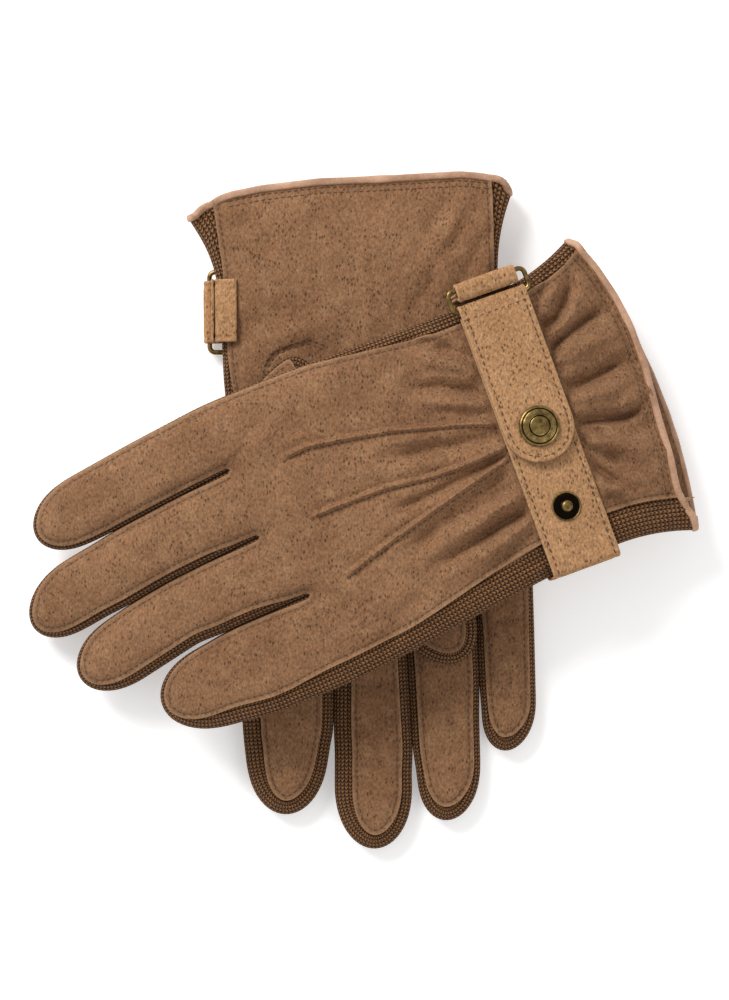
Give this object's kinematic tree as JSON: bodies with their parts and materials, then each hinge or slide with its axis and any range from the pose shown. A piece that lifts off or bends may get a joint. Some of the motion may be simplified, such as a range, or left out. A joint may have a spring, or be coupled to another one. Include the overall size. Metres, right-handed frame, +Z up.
{
  "type": "pair of leather driving gloves",
  "caption": "Pair of suede driving gloves with ribbed knit side walls and a wrist strap that runs through a brass loop and closes on a press stud.",
  "frame": {"origin": "centre of the pair's footprint, on the surface it lies on", "axes": "+Z up. The right glove lies palm up with its fingers towards -Y; the left glove lies across it, back up, with its fingers towards -X"},
  "size_m": [0.246, 0.2474, 0.0455],
  "materials": {
    "suede": "matt pigskin suede",
    "knit": "ribbed wool knit",
    "binding": "smooth leather binding",
    "elastic": "woven elastic",
    "brass": "antique brass"
  },
  "bodies": {
    "right_glove": {"right_back_panel": "suede", "right_palm_panel": "suede", "right_thumb_side_wall": "knit", "right_little_side_wall": "knit", "right_fourchettes": "knit", "right_cuff_binding": "binding", "right_wrist_elastic": "elastic", "right_strap": "suede", "right_loop_keeper": "suede", "right_snap_studs": "brass", "right_thumb_outer": "suede", "right_thumb_inner": "suede", "right_thumb_wall": "knit"},
    "right_index_tip": {"right_index_tip_back": "suede", "right_index_tip_palm": "suede", "right_index_tip_wall": "knit"},
    "right_middle_tip": {"right_middle_tip_back": "suede", "right_middle_tip_palm": "suede", "right_middle_tip_wall": "knit"},
    "right_ring_tip": {"right_ring_tip_back": "suede", "right_ring_tip_palm": "suede", "right_ring_tip_wall": "knit"},
    "right_little_tip": {"right_little_tip_back": "suede", "right_little_tip_palm": "suede", "right_little_tip_wall": "knit"},
    "right_loop": {"right_strap_loop": "brass"},
    "right_tab": {"right_strap_tab": "suede", "right_snap_cap": "brass", "right_snap_socket": "brass"},
    "left_glove": {"left_back_panel": "suede", "left_palm_panel": "suede", "left_thumb_side_wall": "knit", "left_little_side_wall": "knit", "left_fourchettes": "knit", "left_cuff_binding": "binding", "left_wrist_elastic": "elastic", "left_strap": "suede", "left_loop_keeper": "suede", "left_snap_studs": "brass", "left_thumb_outer": "suede", "left_thumb_inner": "suede", "left_thumb_wall": "knit"},
    "left_index_tip": {"left_index_tip_back": "suede", "left_index_tip_palm": "suede", "left_index_tip_wall": "knit"},
    "left_middle_tip": {"left_middle_tip_back": "suede", "left_middle_tip_palm": "suede", "left_middle_tip_wall": "knit"},
    "left_ring_tip": {"left_ring_tip_back": "suede", "left_ring_tip_palm": "suede", "left_ring_tip_wall": "knit"},
    "left_little_tip": {"left_little_tip_back": "suede", "left_little_tip_palm": "suede", "left_little_tip_wall": "knit"},
    "left_loop": {"left_strap_loop": "brass"},
    "left_tab": {"left_strap_tab": "suede", "left_snap_cap": "brass", "left_snap_socket": "brass"}
  },
  "joints": [
    {"name": "left_glove_lift", "type": "slide", "parent": "right_glove", "child": "left_glove", "axis": [0, 0, 1], "range_m": [0, 0.09]},
    {"name": "right_index_knuckle", "type": "hinge", "parent": "right_glove", "child": "right_index_tip", "pos_m": [-0.02772, -0.08207, 0.009], "axis": [-1, -0.0028, 0], "range_deg": [0, 60]},
    {"name": "right_middle_knuckle", "type": "hinge", "parent": "right_glove", "child": "right_middle_tip", "pos_m": [0.00304, -0.07374, 0.009], "axis": [-0.9993, -0.0371, 0], "range_deg": [0, 60]},
    {"name": "right_ring_knuckle", "type": "hinge", "parent": "right_glove", "child": "right_ring_tip", "pos_m": [0.03, -0.06018, 0.009], "axis": [-0.9998, -0.0223, 0], "range_deg": [0, 60]},
    {"name": "right_little_knuckle", "type": "hinge", "parent": "right_glove", "child": "right_little_tip", "pos_m": [0.05271, -0.04343, 0.009], "axis": [-1, -0.0024, 0], "range_deg": [0, 60]},
    {"name": "right_loop_tilt", "type": "hinge", "parent": "right_glove", "child": "right_loop", "pos_m": [-0.05663, 0.07412, 0.00435], "axis": [-0.0052, 1, 0], "range_deg": [0, 40]},
    {"name": "right_tab_open", "type": "hinge", "parent": "right_loop", "child": "right_tab", "pos_m": [-0.04863, 0.07416, 0.00435], "axis": [-0.0052, 1, 0], "range_deg": [0, 140]},
    {"name": "left_index_knuckle", "type": "hinge", "parent": "left_glove", "child": "left_index_tip", "pos_m": [-0.08316, 0.01179, 0.03494], "axis": [-0.4729, 0.8811, 0], "range_deg": [0, 30]},
    {"name": "left_middle_knuckle", "type": "hinge", "parent": "left_glove", "child": "left_middle_tip", "pos_m": [-0.08081, -0.01562, 0.03127], "axis": [-0.5187, 0.855, 0], "range_deg": [0, 30]},
    {"name": "left_ring_knuckle", "type": "hinge", "parent": "left_glove", "child": "left_ring_tip", "pos_m": [-0.06387, -0.03523, 0.03433], "axis": [-0.5156, 0.8569, 0], "range_deg": [0, 30]},
    {"name": "left_little_knuckle", "type": "hinge", "parent": "left_glove", "child": "left_little_tip", "pos_m": [-0.03796, -0.05653, 0.0382], "axis": [-0.3728, 0.9279, 0], "range_deg": [0, 30]},
    {"name": "left_loop_tilt", "type": "hinge", "parent": "left_glove", "child": "left_loop", "pos_m": [0.04369, 0.08404, 0.04006], "axis": [-0.9294, -0.3375, 0.1492], "range_deg": [0, 40]},
    {"name": "left_tab_open", "type": "hinge", "parent": "left_loop", "child": "left_tab", "pos_m": [0.04643, 0.07653, 0.04014], "axis": [-0.9294, -0.3375, 0.1492], "range_deg": [0, 140]}
  ]
}
